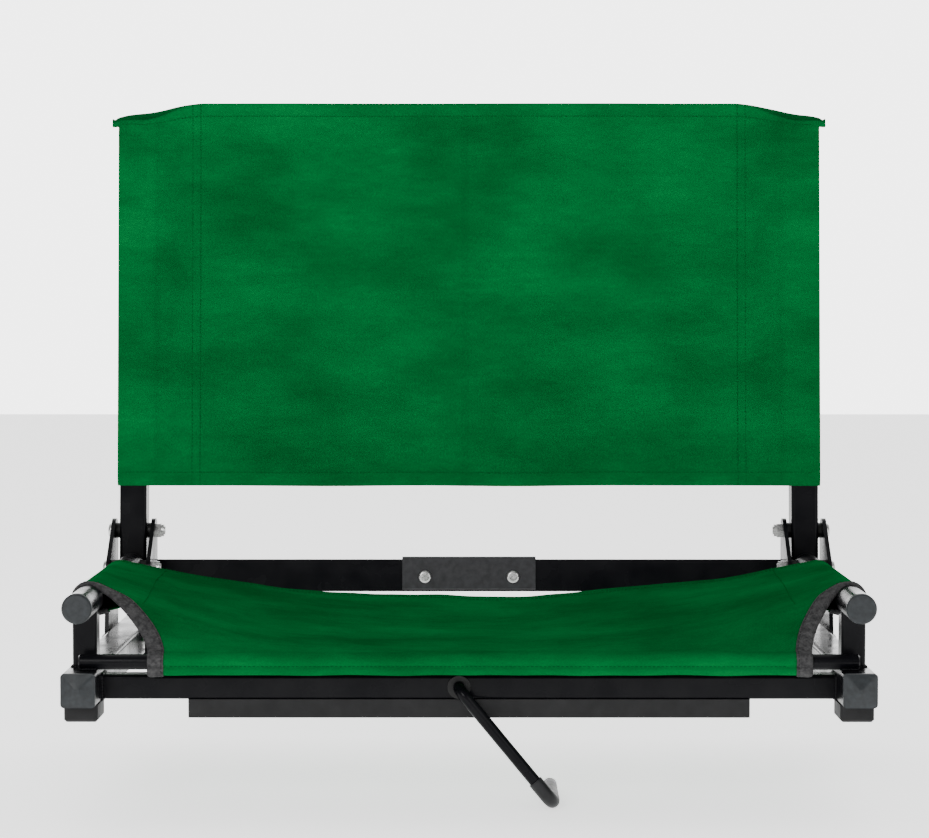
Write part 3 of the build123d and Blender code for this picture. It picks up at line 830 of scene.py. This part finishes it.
def bound_edge(sign, sleeve_edge, corners, hem):
    """The right or left bound edge: its points, the way into the cloth, and its normal."""
    column = PANEL_COLS if sign > 0 else 0
    inner = column - 3 * sign
    edge, inward, guide = [], [], []
    for p in sleeve_edge:
        edge.append(p)
        inward.append(Vector((0, 1, 0)))
        guide.append((p - Vector((sign * RAIL.x, p.y, RAIL.z))).normalized())
    for row in corners[1:]:
        edge.append(row[column])
        inward.append((row[inner] - row[column]).normalized())
        guide.append(Vector((0, -0.3, 1)).normalized())
    for row in hem[:HEM_FRONT_ROWS]:
        edge.append(row[column])
        inward.append(Vector((-sign, 0, 0)))
        guide.append((row[column] - Vector((row[column].x, ROD_Y, ROD_Z))).normalized())
    for _ in range(EDGE_SMOOTHINGS):
        inward = smoothed(inward)
    normals, ways = [], []
    for k in range(len(edge)):
        tangent = (edge[min(k + 1, len(edge) - 1)] - edge[max(k - 1, 0)]).normalized()
        way = (inward[k] - tangent * inward[k].dot(tangent)).normalized()
        normal = tangent.cross(way)
        if normal.dot(guide[k]) < 0:
            normal = -normal
        ways.append(way)
        normals.append(normal)
    return edge, ways, normals


def patch_mesh(patches):
    """Vertices, faces and cloth coordinates of patches of rows, laid out one after another."""
    verts, uvs, faces = [], [], []
    v = 0.0
    for patch in patches:
        faces += grid_faces(len(patch), len(patch[0]), len(verts))
        middle = len(patch[0]) // 2
        for r, row in enumerate(patch):
            v += (row[middle] - patch[r - 1][middle]).length if r else 0.0
            across = [0.0]
            for a, b in zip(row, row[1:]):
                across.append(across[-1] + (b - a).length)
            verts += row
            uvs += [(u - across[-1] / 2, v) for u in across]
    return verts, faces, uvs


def make_bindings(front_row, corners, hem):
    """The tape along both cut-outs, and its stitches."""
    left, _, right = front_row
    pieces, sewn = [], []
    for sign, name, wrap in ((-1, "left", left), (1, "right", list(reversed(right)))):
        edge, ways, normals = bound_edge(sign, wrap[TAPE_FROM_COLUMN:], corners, hem)
        piece, on_tape = tape_strip(f"seat_binding_{name}", edge, ways, normals)
        pieces.append(piece)
        sewn.append(on_tape)
    return pieces + [stitching("binding_stitching", sewn, "base", GREY_THREAD)]


def make_seat_sling():
    """The seat: sleeves round both rails, a panel between them, cut-outs in front and a rod hem."""
    made = [seat_row(mix(SEAT_REAR, SEAT_FRONT, r / SEAT_ROWS)) for r in range(SEAT_ROWS + 1)]
    full = [left + panel + right for left, panel, right in made]
    corners = [made[-1][1]] + [corner_row(step) for step in range(1, CORNER_ROWS + 1)]
    hem = hem_rows()
    verts, faces, uvs = patch_mesh((full, corners + hem))
    pieces = make_bindings(made[-1], corners, hem) + make_seat_stitching(made, hem)
    flat_across = sum((b - a).length for a, b in zip(full[0], full[0][1:]))
    flat_along = uvs[-1][1]
    sleeve_long = SEAT_REAR - SEAT_FRONT
    area = flat_across * sleeve_long + (HEM_END[-1] + HEM_END[1]) * (flat_along - sleeve_long)
    sling = cloth(
        "seat_sling_cloth", verts, faces, uvs, "base",
        flat=(round(flat_across, 3), round(flat_along, 3)), area=round(area, 4), held="stretched",
        rests_on=["side_rail_left", "side_rail_right", "hem_rod"], with_pieces=pieces,
    )
    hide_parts("seat_sling")


def make_seat_stitching(made, hem):
    """Seams that close the rail sleeves, the rear hem and the rod hem."""
    up = Vector((0, 0, 1))
    lift = up * (0.5 * FABRIC)
    panels = [panel for _, panel, _ in made]
    seams = [[row[column] for row in panels]
             for column in (SLEEVE_SEAM_COLUMN, PANEL_COLS - SLEEVE_SEAM_COLUMN)]
    seams += [panels[1], panels[2]]
    rows = [([p + lift for p in seam], [up] * len(seam)) for seam in seams]
    # The rod hem's stitches lie in the groove and use the darkened thread, which paints the groove's shade as
    # colour.
    out = Vector((0, -1, 0))
    points = [p + out * (0.5 * FABRIC) for p in hem[ROD_STEPS][3:-3]]
    return [
        stitching("seat_stitching", rows, "base", GREEN_THREAD),
        stitching("hem_stitching", [(points, [out] * len(points))], "base", HEM_THREAD_PAINTED_SHADE),
    ]


# ---- Welds ----

BEAD_RADIUS = 1.3 * MM
BEAD_STEP = 0.6 * MM
ROD_BEAD_LONG = 11.0 * MM
ROD_BEAD_END = 1.0 * MM
ROD_BEAD_IN = 1.8 * MM


def weld(name, points, closed):
    """A rippled bead along a path."""
    curve = bpy.data.curves.new(name, "CURVE")
    curve.dimensions = "3D"
    curve.bevel_depth = BEAD_RADIUS
    curve.bevel_resolution = 3
    line = curve.splines.new("POLY")
    dense = []
    loop = points + points[:1] if closed else points
    for a, b in zip(loop, loop[1:]):
        steps = max(2, round((b - a).length / BEAD_STEP))
        dense += [a.lerp(b, k / steps) for k in range(steps)]
    if not closed:
        dense.append(points[-1])
    line.points.add(len(dense) - 1)
    for k, p in enumerate(dense):
        line.points[k].co = (*p, 1)
        line.points[k].radius = 0.9 + 0.16 * math.sin(k * 1.9) + 0.12 * ripple(k * MM, 0, 4 * MM, 1.0)
    line.use_cyclic_u = closed
    piece = bpy.data.objects.new(name, curve)
    bpy.context.scene.collection.objects.link(piece)
    finish_piece(piece, "base", MATERIALS["black_metal"])


def make_welds():
    """Beads where the posts, the crossbars and the rod meet the side tubes."""
    for side in ("left", "right"):
        low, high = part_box(f"front_post_{side}")
        corners = [(low.x, low.y), (high.x, low.y), (high.x, high.y), (low.x, high.y)]
        weld(f"weld_post_{side}", [Vector((x, y, low.z)) for x, y in corners], closed=True)
    for bar in ("front_crossbar", "rear_crossbar"):
        low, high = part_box(bar)
        corners = [(low.y, low.z), (high.y, low.z), (high.y, high.z), (low.y, high.z)]
        for side, x in (("left", low.x), ("right", high.x)):
            weld(f"weld_{bar}_{side}", [Vector((x, y, z)) for y, z in corners], closed=True)
    low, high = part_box("hem_rod")
    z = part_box("base_tube_left")[1].z + 0.5 * MM
    outer = high.x - ROD_BEAD_END
    for side, sign in (("left", -1), ("right", 1)):
        for place, y in (("front", low.y + ROD_BEAD_IN), ("rear", high.y - ROD_BEAD_IN)):
            points = [Vector((sign * x, y, z)) for x in (outer, outer - ROD_BEAD_LONG)]
            weld(f"weld_rod_{place}_{side}", points, closed=False)


# ---- Stage ----

def make_floor():
    """A pale floor just under the hook's lowest point."""
    floor_z = cad_box[0].z - 0.5 * MM
    size = 6.0
    corners = [(-size, -size), (size, -size), (size, size), (-size, size)]
    floor = mesh_piece("floor", [(x, y, floor_z) for x, y in corners], [(0, 1, 2, 3)])
    paper = Shader("floor", 0.8, specular=0.1)
    paper.set("Base Color", (0.9, 0.9, 0.9, 1))
    paper.set("Emission Color", (1, 1, 1, 1))
    paper.set("Emission Strength", 1.3)
    floor.data.materials.append(paper.material)


def make_world():
    """White surroundings: dim in front of the chair, so that its black stays black, bright behind."""
    world = bpy.data.worlds.new("studio")
    world.use_nodes = True
    tree = world.node_tree
    split = tree.nodes.new("ShaderNodeSeparateXYZ")
    tree.links.new(tree.nodes.new("ShaderNodeTexCoord").outputs["Generated"], split.inputs[0])
    level = tree.nodes.new("ShaderNodeMapRange")
    level.inputs["From Min"].default_value = 0.1
    level.inputs["From Max"].default_value = 0.95
    level.inputs["To Min"].default_value = 0.35
    level.inputs["To Max"].default_value = 4.5
    tree.links.new(split.outputs["Y"], level.inputs["Value"])
    background = tree.nodes["Background"]
    tree.links.new(level.outputs["Result"], background.inputs["Strength"])
    background.inputs["Color"].default_value = (1, 1, 1, 1)
    bpy.context.scene.world = world


def make_light(name, place, width, power):
    """A square area light aimed at the chair."""
    lamp = bpy.data.lights.new(name, "AREA")
    lamp.size = width
    lamp.energy = power
    holder = bpy.data.objects.new(name, lamp)
    holder.location = place
    aim = Vector((0, 0.1, 0.2)) - Vector(place)
    holder.rotation_euler = aim.to_track_quat("-Z", "Y").to_euler()
    bpy.context.scene.collection.objects.link(holder)


def make_camera():
    """A long lens straight in front of the chair, tipped down a little."""
    camera_data = bpy.data.cameras.new("camera")
    camera_data.sensor_width = 36.0
    camera_data.lens = 100.7
    camera = bpy.data.objects.new("camera", camera_data)
    camera.location = (-0.0006, -1.689, 0.2695)
    pitch, yaw = math.radians(2.55), math.radians(0.08)
    camera.rotation_euler = (math.pi / 2 - pitch, 0.0, yaw)
    bpy.context.scene.collection.objects.link(camera)
    bpy.context.scene.camera = camera


paint_cad_nodes()
make_back_sling()
make_seat_sling()
make_welds()
make_floor()
make_world()
make_light("key", (-0.9, -1.9, 1.0), 1.0, 26.0)
make_light("fill", (1.4, -1.7, 0.7), 1.2, 12.0)
make_light("top", (0.0, 0.3, 1.9), 1.6, 5.0)
make_camera()
